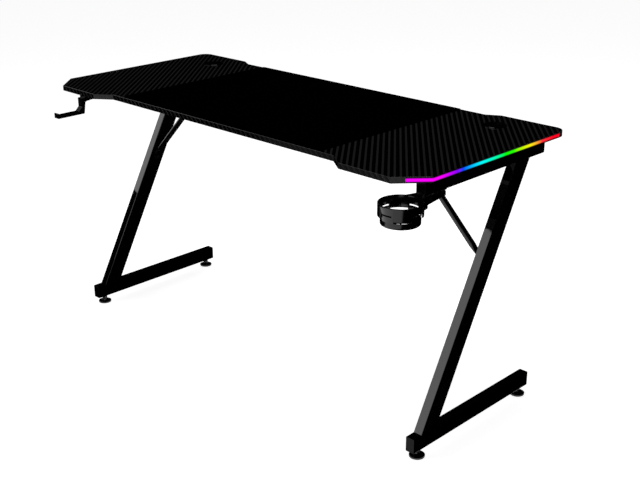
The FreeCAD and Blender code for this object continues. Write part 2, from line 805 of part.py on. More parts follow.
pad_section = [
    ("0", "0"),
    ("foot_pad_radius", "0"),
    ("foot_pad_radius", "foot_pad_rim"),
    ("foot_pad_hub_radius", "foot_pad_height - foot_pad_chamfer"),
    ("foot_pad_hub_radius - foot_pad_chamfer", "foot_pad_height"),
    (stud_bore, "foot_pad_height"),
    (stud_bore, "foot_pad_height - foot_socket_depth"),
    ("0", "foot_pad_height - foot_socket_depth"),
]
nut_low_z = "(ground_gap - foot_nut_height)"
hex_height = f"({nut_low_z} - foot_pad_height)"


def hexagon(name, spot, height):
    """An upright hexagonal prism, as on a nut."""
    solid = doc.addObject("Part::Prism", name)
    solid.Polygon = 6
    bind(solid, Circumradius="foot_hex_radius", Height=height)
    place(solid, spot)
    return solid


foot_nuts = []
for side, sign in SIDES:
    for order, back in foot_ys.items():
        name = f"{side}_{order}"
        across = f"{sign} * {frame_x}"
        piece(turned(f"{name}_pad", pad_section, (across, back, "0")), f"{name}_foot_pad")
        stud_start = (across, back, "foot_pad_height - foot_socket_depth")
        stud_rod = rod(f"{name}_stud_rod", "foot_stud_radius", stud_start, "foot_stud_length")
        stud_hex = hexagon(f"{name}_stud_hex", (across, back, "foot_pad_height"), hex_height)
        piece(fused(f"{name}_stud", [stud_rod, stud_hex]), f"{name}_foot_stud")
        nut_blank = hexagon(f"{name}_nut_blank", (across, back, nut_low_z), "foot_nut_height")
        nut_start = (across, back, f"{nut_low_z} - overrun")
        nut_bore = rod(f"{name}_nut_bore", stud_bore, nut_start, "foot_nut_height + 2 * overrun")
        foot_nuts.append(cut(f"{name}_nut", nut_blank, [nut_bore]))
piece(group("foot_nut_set", foot_nuts), "foot_nuts")


# Cup holder: one moulding of cup, pillars, hoop, tabs and arm

cup_base_radius = "(cup_ring_radius - cup_step)"
cup_base_inner = f"({cup_base_radius} - cup_wall)"
cup_ring_inner = "(cup_ring_radius - cup_wall)"
cup_floor_opening = f"({cup_base_inner} - cup_floor_margin)"
cup_reach = "(cup_ring_radius + overrun)"
cup_spot = (cup_x, cup_y, cup_base_z)
hoop_low = "(cup_height - cup_hoop_height)"


def cup_ring(name, low):
    """A ring at the top of the cup holder, down to a height above its base, with broken upper edges."""
    section = [
        (cup_ring_inner, low),
        ("cup_ring_radius", low),
        ("cup_ring_radius", "cup_height - cup_edge_round"),
        ("cup_ring_radius - cup_edge_round", "cup_height"),
        (f"{cup_ring_inner} + cup_edge_round", "cup_height"),
        (cup_ring_inner, "cup_height - cup_edge_round"),
    ]
    return turned(name, section, cup_spot)


def crossed(name, turn, reach, width, low, height):
    """Two bars that cross on the cup holder's axis, the first one turned by an angle from X."""
    bars = []
    for angle in (turn, turn + 90):
        corners = []
        for along, across in ((-1, -1), (1, -1), (1, 1), (-1, 1)):
            aside = f"{across} * {width} / 2"
            east = f"{along} * {reach} * cos({angle}) - {aside} * sin({angle})"
            north = f"{along} * {reach} * sin({angle}) + {aside} * cos({angle})"
            corners.append((f"{cup_x} + {east}", f"{cup_y} + {north}"))
        bars.append(prism(f"{name}_{angle}", "XY_Plane", [corners], low, height))
    return bars


cup_section = [
    (cup_floor_opening, "0"),
    (cup_base_radius, "0"),
    (cup_base_radius, "cup_base_height"),
    ("cup_ring_radius", hoop_low),
    (cup_ring_inner, hoop_low),
    (cup_base_inner, "cup_base_height"),
    (cup_base_inner, "cup_floor_thick"),
    (cup_floor_opening, "cup_floor_thick"),
]
cup_wall_body = turned("cup_wall_body", cup_section, cup_spot)
rounded(
    cup_wall_body,
    "cup_base_round",
    lambda middle, run: middle.z < value("cup_floor_thick / 2")
    and FreeCAD.Vector(middle.x, middle.y, 0).Length > value(cup_base_inner),
)
cup_slots = crossed(
    "cup_slot",
    45,
    cup_reach,
    "cup_slot_width",
    f"{cup_base_z} + cup_base_height",
    f"{hoop_low} - cup_base_height",
)
window_low_z = f"({cup_top_z} - cup_window_drop - cup_window_height)"
cup_windows = crossed("cup_window", 0, cup_reach, "cup_window_width", window_low_z, "cup_window_height")
cup_cup = cut("cup_cup", cup_wall_body, cup_slots + cup_windows)
tab_width = "(cup_slot_width + 2 * cup_tab_lap)"
tab_bars = crossed("cup_tab_bar", 45, cup_reach, tab_width, cup_base_z, "cup_height + overrun")
cup_tabs = doc.addObject("Part::MultiCommon", "cup_tabs")
cup_tabs.Shapes = [cup_ring("cup_tab_ring", "cup_height - cup_tab_height"), fused("cup_tab_cross", tab_bars)]
spoke_reach = f"({cup_floor_opening} + cup_floor_margin / 2)"
spokes = crossed("cup_spoke", 45, spoke_reach, "cup_spoke_width", cup_base_z, "cup_floor_thick")

arm_tip_y = f"({cup_y} + cup_arm_length)"
arm_low_z = f"({cup_arm_top_z} - cup_arm_thick)"
rib_low_z = f"({cup_top_z} - cup_window_drop)"
arm_plate = prism(
    "cup_arm_plate",
    "XY_Plane",
    [[
        (f"{cup_x} - cup_arm_root_width / 2", cup_y),
        (f"{cup_x} + cup_arm_root_width / 2", cup_y),
        (f"{frame_x} + cup_arm_tip_width / 2", arm_tip_y),
        (f"{frame_x} - cup_arm_tip_width / 2", arm_tip_y),
    ]],
    arm_low_z,
    "cup_arm_thick",
)
arm_tip = rod("cup_arm_tip", "cup_arm_tip_width / 2", (frame_x, arm_tip_y, arm_low_z), "cup_arm_thick")
arm_rib = prism(
    "cup_arm_rib",
    "YZ_Plane",
    [[
        (cup_y, arm_low_z),
        (cup_y, rib_low_z),
        (f"{cup_y} + cup_ring_radius", rib_low_z),
        (f"{cup_y} + cup_arm_length * cup_rib_share", arm_low_z),
    ]],
    f"{cup_x} - cup_rib_width / 2",
    "cup_rib_width",
)
arm_flanks = []
for side, sign in SIDES:
    flank_outline = []
    for order, aside in (("start", 0), ("start", 1), ("end", 1), ("end", 0)):
        taper = f"({frame_x} - {cup_x} - {sign} * (cup_arm_root_width - cup_arm_tip_width) / 2)"
        across = f"{cup_x} + {sign} * cup_arm_root_width / 2 + {taper} * cup_flank_{order}_share"
        back = f"{cup_y} + cup_arm_length * cup_flank_{order}_share"
        flank_outline.append((f"{across} - {sign} * {aside} * cup_flank_wall", back))
    flank_height = f"{arm_low_z} - {rib_low_z}"
    arm_flanks.append(prism(f"{side}_cup_flank", "XY_Plane", [flank_outline], rib_low_z, flank_height))
clear_start = (cup_x, cup_y, f"{rib_low_z} - overrun")
cup_clear = rod("cup_clear", cup_ring_inner, clear_start, "cup_window_drop + 2 * overrun")
cup_arm = cut("cup_arm", fused("cup_arm_solid", [arm_plate, arm_tip, arm_rib] + arm_flanks), [cup_clear])
arm_cut = "cup_arm_thick + 2 * overrun"
arm_screw_holes = []
for number, back in enumerate(spacer_ys):
    start = (frame_x, back, f"{arm_low_z} - overrun")
    arm_screw_holes.append(bore(f"cup_arm_hole_{number}", start, "z", "cup_screw", arm_cut))
cup_solids = [cup_cup, cup_ring("cup_hoop", hoop_low), cup_tabs, cup_arm] + spokes
cup_moulding = fused("cup_moulding", cup_solids)
piece(cut("cup_holder_body", cup_moulding, arm_screw_holes), "cup_holder")

spacer_section = [
    ("cup_screw_radius + screw_gap", "0"),
    ("cup_spacer_neck_radius", "0"),
    ("cup_spacer_neck_radius", "cup_spacer_height - cup_spacer_flange_thick"),
    ("cup_spacer_flange_radius", "cup_spacer_height - cup_spacer_flange_thick"),
    ("cup_spacer_flange_radius", "cup_spacer_height"),
    ("cup_screw_radius + screw_gap", "cup_spacer_height"),
]
cup_screw_length = "cup_arm_thick + cup_spacer_height + tube_wall + cup_screw_grip"
cup_spacers = []
cup_screws = []
for number, back in enumerate(spacer_ys):
    cup_spacers.append(turned(f"cup_spacer_{number}", spacer_section, (frame_x, back, cup_arm_top_z)))
    head = (frame_x, back, arm_low_z)
    cup_screws.append(bolt(f"cup_screw_{number}", head, "z", "cup_screw", cup_screw_length))
piece(group("cup_spacer_set", cup_spacers), "cup_holder_spacers")
piece(group("cup_screw_set", cup_screws), "cup_holder_screws")


# Headset hook: plate under the left-hand beam, post, forward arm with a raised tip, gusset at the bend

hook_low_z = f"({beam_low_z} - hook_drop)"
hook_tip_y = f"({hook_post_y} - hook_reach)"
hook_arm_top_z = f"({hook_low_z} + hook_thick)"
hook_root_z = f"({beam_low_z} - hook_root_depth)"
hook_plate_z = f"({beam_low_z} - hook_plate_thick)"
hook_rear_y = f"({spacer_ys[-1]} + hook_plate_margin)"
hook_outline = [
    (hook_tip_y, hook_low_z),
    (f"{hook_post_y} + hook_foot_depth", hook_low_z),
    (f"{hook_post_y} + hook_post_depth", hook_root_z),
    (f"{hook_post_y} + hook_post_depth + hook_root_length", hook_plate_z),
    (hook_rear_y, hook_plate_z),
    (hook_rear_y, beam_low_z),
    (hook_post_y, beam_low_z),
    (hook_post_y, f"{hook_arm_top_z} + hook_gusset"),
    (f"{hook_post_y} - hook_gusset", hook_arm_top_z),
    (f"{hook_tip_y} + hook_lip_depth", hook_arm_top_z),
    (f"{hook_tip_y} + hook_lip_depth", f"{hook_low_z} + hook_lip_height"),
    (hook_tip_y, f"{hook_low_z} + hook_lip_height"),
]
hook_bar = prism("hook_bar", "YZ_Plane", [hook_outline], f"{hook_x} - tube_width / 2", "tube_width")
rounded(
    hook_bar,
    "hook_edge_round",
    lambda middle, run: along_x(middle, run) and middle.z < value(f"{hook_root_z} - hook_edge_round"),
)
hook_cut = "hook_plate_thick + 2 * overrun"
hook_screw_length = "hook_plate_thick + tube_wall + cup_screw_grip"
hook_holes = []
hook_screws = []
for number, back in enumerate(spacer_ys):
    start = (hook_x, back, f"{hook_plate_z} - overrun")
    hook_holes.append(bore(f"hook_plate_hole_{number}", start, "z", "cup_screw", hook_cut))
    head = (hook_x, back, hook_plate_z)
    hook_screws.append(bolt(f"hook_screw_{number}", head, "z", "cup_screw", hook_screw_length))
piece(cut("hook", hook_bar, hook_holes), "headset_hook")
piece(group("hook_screw_set", hook_screws), "hook_screws")


# Light controller: base plate with two lugs on the board, case under it, circuit, button, inlet

case_base_z = f"({under_z} - case_base_thick)"
base_size = ("case_width", "case_depth", "case_base_thick")
base_main = box("case_base_main", (case_x, case_y, case_base_z), base_size)
base_lugs = box(
    "case_base_lugs",
    (f"{case_x} - case_lug_length", f"{case_middle_y} - case_lug_width / 2", case_base_z),
    ("case_width + 2 * case_lug_length", "case_lug_width", "case_base_thick"),
)
base_cut = "case_base_thick + 2 * overrun"
case_screw_length = "case_base_thick + small_screw_grip"
base_holes = []
case_screws = []
for number, across in enumerate(case_lug_xs):
    start = (across, case_middle_y, f"{case_base_z} - overrun")
    base_holes.append(bore(f"case_lug_hole_{number}", start, "z", "small_screw", base_cut))
    head = (across, case_middle_y, case_base_z)
    case_screws.append(bolt(f"case_screw_{number}", head, "z", "small_screw", case_screw_length))
piece(cut("case_base", fused("case_base_plate", [base_main, base_lugs]), base_holes), "controller_base")
piece(group("case_screw_set", case_screws), "controller_screws")

case_floor_z = f"({case_low_z} + case_wall)"
case_tall = "case_height - case_base_thick"
circuit_z = f"({case_floor_z} + circuit_post_height)"
circuit_top_z = f"({circuit_z} + circuit_thick)"
circuit_front_y = f"({case_y} + case_wall + button_flange_thick + button_travel + button_gap)"
case_rear_y = f"({case_y} + case_depth)"
circuit_rear_y = f"({case_rear_y} - case_wall - circuit_gap)"
circuit_left_x = f"({case_x} + case_wall + circuit_gap)"
circuit_right_x = f"({case_x} + case_width - case_wall - circuit_gap)"
button_x = f"({case_x} + case_width * button_place_share)"
button_z = f"({circuit_top_z} + switch_height / 2)"
inlet_x = f"({case_x} + case_width / 2)"

case_outer = rectangle(case_x, case_y, f"{case_x} + case_width", case_rear_y)
case_inner = rectangle(
    f"{case_x} + case_wall",
    f"{case_y} + case_wall",
    f"{case_x} + case_width - case_wall",
    f"{case_rear_y} - case_wall",
)
case_shell = prism("case_shell", "XY_Plane", [case_outer], case_low_z, case_tall)
rounded(case_shell, "case_round", along_z)
case_cavity = prism("case_cavity", "XY_Plane", [case_inner], case_floor_z, case_tall)
case_cut = "case_wall + 2 * overrun"
button_hole_start = (button_x, f"{case_y} - overrun", button_z)
button_hole = rod("button_hole", "button_radius + button_gap", button_hole_start, case_cut, "y")
inlet_left_x = f"({inlet_x} - inlet_width / 2)"
inlet_hole = box(
    "inlet_hole",
    (f"{inlet_left_x} - inlet_gap", f"{case_rear_y} - case_wall - overrun", f"{circuit_top_z} - inlet_gap"),
    ("inlet_width + 2 * inlet_gap", case_cut, "inlet_height + 2 * inlet_gap"),
)
case_tray = cut("case_tray", case_shell, [case_cavity, button_hole, inlet_hole])
post_xs = [f"{circuit_left_x} + circuit_post_inset", f"{circuit_right_x} - circuit_post_inset"]
post_ys = [f"{circuit_front_y} + circuit_post_inset", f"{circuit_rear_y} - circuit_post_inset"]
circuit_posts = []
for across in post_xs:
    for back in post_ys:
        name = f"circuit_post_{len(circuit_posts)}"
        spot = (across, back, case_floor_z)
        circuit_posts.append(rod(name, "circuit_post_radius", spot, "circuit_post_height"))
piece(fused("case_body", [case_tray] + circuit_posts), "controller_case")

circuit_plate = box(
    "circuit_plate",
    (circuit_left_x, circuit_front_y, circuit_z),
    (f"{circuit_right_x} - {circuit_left_x}", f"{circuit_rear_y} - {circuit_front_y}", "circuit_thick"),
)
switch_block = box(
    "switch_block",
    (f"{button_x} - switch_width / 2", circuit_front_y, circuit_top_z),
    ("switch_width", "switch_width", "switch_height"),
)
piece(fused("circuit", [circuit_plate, switch_block]), "controller_circuit")

stem_start = (button_x, f"{case_y} - button_proud", button_z)
button_stem = rod("button_stem", "button_radius", stem_start, "button_proud + case_wall", "y")
flange_start = (button_x, f"{case_y} + case_wall", button_z)
button_flange = rod("button_flange", "button_flange_radius", flange_start, "button_flange_thick", "y")
piece(fused("button", [button_stem, button_flange]), "mode_button")

inlet_front_y = f"({case_rear_y} - inlet_depth)"
inlet_shell = box(
    "inlet_shell",
    (inlet_left_x, inlet_front_y, circuit_top_z),
    ("inlet_width", "inlet_depth", "inlet_height"),
)
mouth_low_z = f"{circuit_top_z} + (inlet_height - inlet_opening_height) / 2"
inlet_mouth = box(
    "inlet_mouth",
    (f"{inlet_x} - inlet_opening_width / 2", f"{inlet_front_y} + case_wall", mouth_low_z),
    ("inlet_opening_width", "inlet_depth", "inlet_opening_height"),
)
piece(cut("inlet", inlet_shell, [inlet_mouth]), "power_inlet")


# Every object has to be sound before any piece is written

doc.recompute()
failed = [target.Name for target in doc.Objects if {"Invalid", "Error"} & set(target.State)]
failed += [part.Label for part in pieces if part.Shape.isNull() or not part.Shape.isValid()]
if failed:
    raise RuntimeError(f"these did not build: {failed}")
os.makedirs("parts", exist_ok=True)
for part in pieces:
    part.Shape.exportStep(f"parts/{part.Label}.step")
    print(part.Label, len(part.Shape.Solids), round(part.Shape.Volume))
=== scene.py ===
"""Gaming desk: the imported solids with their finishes, the mat as a cloth sheet, and a white studio."""
import math

import bmesh
import bpy
from mathutils import Matrix, Vector


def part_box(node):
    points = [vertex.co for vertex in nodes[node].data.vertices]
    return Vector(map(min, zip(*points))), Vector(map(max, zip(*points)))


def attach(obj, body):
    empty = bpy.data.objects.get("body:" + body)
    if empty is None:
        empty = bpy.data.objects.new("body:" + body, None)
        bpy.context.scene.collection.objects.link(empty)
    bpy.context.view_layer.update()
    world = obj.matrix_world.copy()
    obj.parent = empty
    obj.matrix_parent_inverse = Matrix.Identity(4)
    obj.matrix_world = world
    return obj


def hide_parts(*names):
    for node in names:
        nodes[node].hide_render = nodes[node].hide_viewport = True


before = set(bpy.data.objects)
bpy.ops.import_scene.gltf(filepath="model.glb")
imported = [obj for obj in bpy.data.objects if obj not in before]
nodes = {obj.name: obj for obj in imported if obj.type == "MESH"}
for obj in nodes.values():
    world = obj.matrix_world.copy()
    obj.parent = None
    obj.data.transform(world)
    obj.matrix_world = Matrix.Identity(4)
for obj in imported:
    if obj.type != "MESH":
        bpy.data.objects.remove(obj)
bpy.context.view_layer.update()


# Z-frames: foot bars, slanted legs and top beams, with the crossbeam, its flanges and round braces.
# Thin steel tube, welded, flattened and bent at the braces' ends, then powder coated satin black.
# The beams, legs and foot bars are made here, a little thicker than the nodes that they stand for.

X, Y, Z = range(3)


class Signal:
    """A socket of a material's node tree; arithmetic on it adds Math nodes to that tree."""

    def __init__(self, finish, socket):
        self.finish = finish
        self.socket = socket

    def math(self, operation, first, second):
        return self.finish.node("ShaderNodeMath", {"operation": operation}, {0: first, 1: second})

    def __add__(self, other):
        return self.math("ADD", self, other)

    def __radd__(self, other):
        return self.math("ADD", other, self)

    def __sub__(self, other):
        return self.math("SUBTRACT", self, other)

    def __rsub__(self, other):
        return self.math("SUBTRACT", other, self)

    def __mul__(self, other):
        return self.math("MULTIPLY", self, other)

    def __rmul__(self, other):
        return self.math("MULTIPLY", other, self)

    def __truediv__(self, other):
        return self.math("DIVIDE", self, other)

    def __mod__(self, other):
        return self.math("FLOORED_MODULO", self, other)

    def __lt__(self, other):
        return self.math("LESS_THAN", self, other)

    def __gt__(self, other):
        return self.math("GREATER_THAN", self, other)

    def __abs__(self):
        return self.math("ABSOLUTE", self, 0)

    def __floor__(self):
        return self.math("FLOOR", self, 0)


class Finish:
    """One material: its Principled shader, with constants on the sockets, and the nodes that feed it."""

    def __init__(self, name, constants):
        self.slot = name
        self.material = bpy.data.materials.new(name)
        self.material.use_nodes = True
        self.tree = self.material.node_tree
        self.shader = self.tree.nodes["Principled BSDF"]
        for socket, constant in constants.items():
            self.shader.inputs[socket].default_value = constant
        self.place = self.node("ShaderNodeTexCoord", output="Object")

    def node(self, kind, settings=None, inputs=None, output=0):
        """Adds a node: its settings first, then the values or links of its input sockets."""
        made = self.tree.nodes.new(kind)
        for name, setting in (settings or {}).items():
            if name == "stops":
                while len(made.color_ramp.elements) < len(setting):
                    made.color_ramp.elements.new(1.0)
                for element, (position, colour) in zip(made.color_ramp.elements, setting):
                    element.position = position
                    element.color = colour
            else:
                setattr(made, name, setting)
        for name, given in (inputs or {}).items():
            if isinstance(given, Signal):
                self.tree.links.new(given.socket, made.inputs[name])
            else:
                made.inputs[name].default_value = given
        return Signal(self, made.outputs[output])

    def feed(self, socket, signal):
        self.tree.links.new(signal.socket, self.shader.inputs[socket])

    def noise(self, scale, detail=2.0):
        inputs = {"Vector": self.place, "Scale": scale, "Detail": detail}
        return self.node("ShaderNodeTexNoise", inputs=inputs)

    def along(self, axis):
        return self.node("ShaderNodeSeparateXYZ", inputs={0: self.place}, output=axis)

    def mixed(self, factor, first, second):
        inputs = {0: factor, 6: first, 7: second}
        return self.node("ShaderNodeMix", {"data_type": "RGBA"}, inputs, output=2)

    def bumped(self, height, depth):
        self.feed("Normal", self.node("ShaderNodeBump", inputs={"Height": height, "Distance": depth}))

    def dress(self, *names):
        for name in names:
            nodes[name].data.materials.clear()
            nodes[name].data.materials.append(self.material)


def grey(level):
    return (level, level, level, 1.0)


def skinned(name, tone, gloss, roughness, grain, depth):
    """A black skin, faintly mottled: gloss is its specular level, grain the scale of its fine grain."""
    finish = Finish(name, {"Specular IOR Level": gloss})
    mottle = finish.noise(scale=35.0, detail=4.0)
    speck = finish.noise(scale=grain, detail=3.0)
    finish.feed("Base Color", finish.mixed(mottle, grey(0.7 * tone), grey(1.3 * tone)))
    finish.feed("Roughness", roughness * (0.65 + 0.4 * mottle + 0.3 * speck))
    finish.bumped(speck, depth)
    return finish


SIDES = ("right", "left")
TUBE_WIDTH = 0.026
TUBE_HEIGHT = 0.040
TUBE_WALL = 0.0015
TUBE_ROUND = 0.002
TUBE_SHIFT = 0.0005
LEG_DEPTH = 0.057
LEG_FORWARD = 0.003
WELD_DEPTH = 0.001
STUD_BORE = 0.0043
frame_paint = skinned("frame_paint", tone=0.0016, gloss=0.5, roughness=0.03, grain=900.0, depth=8e-7)
frame_paint.dress("crossbeam", "crossbeam_flanges", *[f"{side}_brace" for side in SIDES])


def round_off(shape, parts, radius, segments, affect="EDGES"):
    """Rounds edges of a shape, or its corners where affect is VERTICES."""
    bmesh.ops.bevel(
        shape, geom=parts, offset=radius, segments=segments, profile=0.5, affect=affect, material=-1
    )


def rounded_block(low, high, axis):
    """A block between two corners, with its four edges along one axis rounded as the tubes are."""
    shape = bmesh.new()
    bmesh.ops.create_cube(shape, size=1.0)
    bmesh.ops.scale(shape, vec=high - low, verts=shape.verts)
    bmesh.ops.translate(shape, vec=(low + high) / 2, verts=shape.verts)
    half = (high - low)[axis] / 2
    edges = [
        edge for edge in shape.edges
        if abs(edge.verts[0].co[axis] - edge.verts[1].co[axis]) > half
    ]
    round_off(shape, edges, TUBE_ROUND, segments=4)
    return shape


def open_tube(low, high, axis):
    """A rectangular tube between two corners, open at both ends of one axis."""
    shape = rounded_block(low, high, axis)
    shape.normal_update()
    ends = [face for face in shape.faces if abs(face.normal[axis]) > 0.9]
    bmesh.ops.delete(shape, geom=ends, context="FACES_ONLY")
    bmesh.ops.solidify(shape, geom=shape.faces[:], thickness=TUBE_WALL)
    return shape


def put_up(shape, name):
    """Turns a shape into an object of the scene."""
    mesh = bpy.data.meshes.new(name)
    shape.to_mesh(mesh)
    shape.free()
    made = bpy.data.objects.new(name, mesh)
    bpy.context.scene.collection.objects.link(made)
    return made


def desk_piece(shape, name, node, finish):
    """Makes a shape a piece of the desk, which stands for a node and has the slot of its finish."""
    made = put_up(shape, name)
    made.data.materials.append(finish.material)
    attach(made, "desk")
    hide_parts(node)
    return made


tube_spans = {}
for side, outwards in zip(SIDES, (1, -1)):
    leg_low, leg_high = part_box(f"{side}_leg")
    beam_low, beam_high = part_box(f"{side}_top_beam")
    bar_low, bar_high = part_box(f"{side}_foot_bar")
    middle_x = (leg_low.x + leg_high.x) / 2 + outwards * TUBE_SHIFT
    left_x = middle_x - TUBE_WIDTH / 2
    right_x = middle_x + TUBE_WIDTH / 2
    beam_under = beam_high.z - TUBE_HEIGHT
    bar_over = bar_low.z + TUBE_HEIGHT
    beam_span = (Vector((left_x, beam_low.y, beam_under)), Vector((right_x, beam_high.y, beam_high.z)))
    bar_span = (Vector((left_x, bar_low.y, bar_low.z)), Vector((right_x, bar_high.y, bar_over)))
    tube_spans[side] = (beam_span, bar_span)
    desk_piece(open_tube(*beam_span, Y), f"{side}_beam_tube", f"{side}_top_beam", frame_paint)

    leg_front = leg_low.y - LEG_FORWARD
    lean = (leg_high.y - leg_front - LEG_DEPTH) / (leg_high.z - leg_low.z)
    foot = Vector((left_x, leg_front, bar_over - WELD_DEPTH))
    head = Vector((right_x, leg_front + LEG_DEPTH, beam_under + WELD_DEPTH))
    leg = open_tube(foot, head, Z)
    slant = Matrix.Identity(4)
    slant[Y][Z] = lean
    slant[Y][3] = -lean * leg_low.z
    bmesh.ops.transform(leg, matrix=slant, verts=leg.verts)
    desk_piece(leg, f"{side}_leg_tube", f"{side}_leg", frame_paint)

    drill = bmesh.new()
    for end in ("front", "rear"):
        stud_low, stud_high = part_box(f"{side}_{end}_foot_stud")
        spot = ((stud_low.x + stud_high.x) / 2, (stud_low.y + stud_high.y) / 2, bar_low.z)
        bmesh.ops.create_cone(
            drill, cap_ends=True, segments=32, radius1=STUD_BORE, radius2=STUD_BORE,
            depth=4 * TUBE_WALL, matrix=Matrix.Translation(spot)
        )
    cutter = put_up(drill, f"{side}_stud_drill")
    bar = desk_piece(open_tube(*bar_span, Y), f"{side}_bar_tube", f"{side}_foot_bar", frame_paint)
    bores = bar.modifiers.new("stud_bores", "BOOLEAN")
    bores.object = cutter
    bores.solver = "EXACT"
    bored = bar.evaluated_get(bpy.context.evaluated_depsgraph_get())
    bar.data = bpy.data.meshes.new_from_object(bored)
    bar.modifiers.clear()
    bpy.data.objects.remove(cutter)


# Bolts and screws: blackened in the frame, the cup holder and the hook, zinc plated in the board.
# Turned and rolled from steel wire; their heads carry fine turning rings.

TURNING_RINGS = 0.0004


def plated(name, tone, roughness, rings):
    """Bare or plated steel with fine rings along Z, a pitch apart, from turning or thread rolling."""
    finish = Finish(name, {"Metallic": 1.0})
    stain = finish.noise(scale=60.0, detail=4.0)
    ridge = abs((finish.along(Z) % rings) / rings - 0.5) * 2.0
    finish.feed("Base Color", finish.mixed(stain, grey(0.8 * tone), grey(1.1 * tone)))
    finish.feed("Roughness", roughness + 0.2 * (stain - 0.5))
    finish.bumped(ridge, 0.3 * rings)
    return finish


bolt_steel = plated("bolt_steel", tone=0.02, roughness=0.42, rings=TURNING_RINGS)
bolt_steel.dress("frame_bolts", "brace_bolts", "cup_holder_screws", "hook_screws")
screw_steel = plated("screw_steel", tone=0.42, roughness=0.34, rings=TURNING_RINGS)
screw_steel.dress("board_screws", "controller_screws")


# Tube end plugs: moulded plates with a stem that is pressed into each open tube end.
# Polypropylene with a fine eroded texture, a little duller than the paint beside it.

PLATE_THICK = 0.003
PLATE_EDGE_ROUND = 0.0008
STEM_LENGTH = 0.0065
STEM_GAP = 0.0002
STEM_INSET = TUBE_WALL + STEM_GAP
SAME_PLACE = 1e-6
plug_plastic = skinned("plug_plastic", tone=0.0018, gloss=0.11, roughness=0.15, grain=1500.0, depth=6e-6)
for side in SIDES:
    plugs = bmesh.new()
    for low, high in tube_spans[side]:
        for end, inwards in ((low.y, 1), (high.y, -1)):
            face_y = end - inwards * PLATE_THICK
            plate_low = Vector((low.x, min(end, face_y), low.z))
            plate_high = Vector((high.x, max(end, face_y), high.z))
            plate = rounded_block(plate_low, plate_high, Y)
            rim = [
                edge for edge in plate.edges
                if all(abs(vert.co.y - face_y) < SAME_PLACE for vert in edge.verts)
            ]
            round_off(plate, rim, PLATE_EDGE_ROUND, segments=3)
            stem_end = end + inwards * STEM_LENGTH
            stem_low = Vector((low.x + STEM_INSET, min(end, stem_end), low.z + STEM_INSET))
            stem_high = Vector((high.x - STEM_INSET, max(end, stem_end), high.z - STEM_INSET))
            for part in (plate, rounded_block(stem_low, stem_high, Y)):
                moulding = bpy.data.meshes.new("plug_moulding")
                part.to_mesh(moulding)
                part.free()
                plugs.from_mesh(moulding)
                bpy.data.meshes.remove(moulding)
    desk_piece(plugs, f"{side}_end_plugs", f"{side}_tube_end_plugs", plug_plastic)


# Levelling feet: a rubber-soled swivel pad on a threaded stud, which turns in a nut under the foot bar.
# The stud and the nut are zinc plated steel with a 1.25 mm thread; the pad is moulded black rubber.

FEET = [f"{side}_{end}" for side in SIDES for end in ("front", "rear")]
THREAD_PITCH = 0.00125
stud_steel = plated("stud_steel", tone=0.35, roughness=0.30, rings=THREAD_PITCH)
stud_steel.dress("foot_nuts", *[f"{foot}_foot_stud" for foot in FEET])
foot_rubber = skinned("foot_rubber", tone=0.0016, gloss=0.9, roughness=0.15, grain=700.0, depth=1e-5)
foot_rubber.dress(*[f"{foot}_foot_pad" for foot in FEET])


# Board: fibreboard wrapped in a laminate with a printed carbon weave, matt only on the underside.
# A stretched twill: its light tows line up in straight slanted stripes, and the dark ones between
# them are cut in steps.

STRIPE_PITCH = 0.01345
STRIPE_TURN = math.radians(130.5)
STRIPE_START = 0.14
GAP_HALF = 0.31
TOW_LENGTH = 0.0051
TOW_STEP = 0.12
TOW_HALF = 0.06
PRINT_RELIEF = 0.00008
UNDERSIDE_SKIN = 0.0005
board = Finish("board_laminate", {"Specular IOR Level": 0.3})
board_low, board_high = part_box("tabletop_board")
wrap = board.along(Y) + board.along(Z) - board_high.z
flat = math.sin(STRIPE_TURN) * board.along(X) - math.cos(STRIPE_TURN) * wrap
phase = (flat / STRIPE_PITCH + STRIPE_START) % 1.0
light = abs(phase - 0.5) > GAP_HALF
tow = math.floor(board.along(Y) / TOW_LENGTH) % 2.0
dim = (abs(phase - 0.5 + TOW_STEP * (tow - 0.5)) < TOW_HALF) * tow
strand = board.noise(scale=1400.0)
stripes = board.mixed(light * (0.85 + 0.15 * strand), grey(0.0), grey(0.0132))
board.feed("Base Color", board.mixed(dim * (1.0 - light), stripes, grey(0.0009)))
under = board.along(Z) < board_low.z + UNDERSIDE_SKIN
board.feed("Roughness", 0.08 + 0.04 * light + 0.02 * strand + 0.6 * under)
board.bumped(light, PRINT_RELIEF)
board.dress("tabletop_board")


# Light strips: a white flexible circuit on the floor of a groove in the board's edge, and a milky bar.
# The bar is extruded acrylic; its light runs through the colours from the front corner to the rear.
# Each colour is given with its distance from the bar's front end.

HUES = [
    (0.072, (1.0, 0.0, 1.0)),
    (0.132, (0.22, 0.0, 1.0)),
    (0.149, (0.0, 0.05, 1.0)),
    (0.221, (0.0, 1.0, 1.0)),
    (0.312, (0.0, 1.0, 0.0)),
    (0.347, (0.02, 1.0, 0.0)),
    (0.412, (1.0, 0.9, 0.0)),
    (0.465, (1.0, 0.03, 0.05)),
    (0.512, (1.0, 0.0, 0.015)),
]
RIM_DIMMING = 2.4
PAD_PITCH = 0.0167
PAD_LENGTH = 0.005
diffuser = Finish("light_diffuser", {
    "Roughness": 0.5,
    "Specular IOR Level": 0.03,
    "Emission Strength": 1.0,
})
strip_low, strip_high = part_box("right_light_diffuser")
strip_long = strip_high.y - strip_low.y
run = (diffuser.along(Y) - strip_low.y) / strip_long
stops = [(distance / strip_long, (*colour, 1.0)) for distance, colour in HUES]
glow = diffuser.node("ShaderNodeValToRGB", {"stops": stops}, {0: run})
rise = (diffuser.along(Z) - strip_low.z) / (strip_high.z - strip_low.z) * 2.0 - 1.0
rise_squared = rise * rise
core = 1.0 - RIM_DIMMING * rise_squared * rise_squared
diffuser.feed("Emission Color", diffuser.mixed(core, grey(0.0), glow))
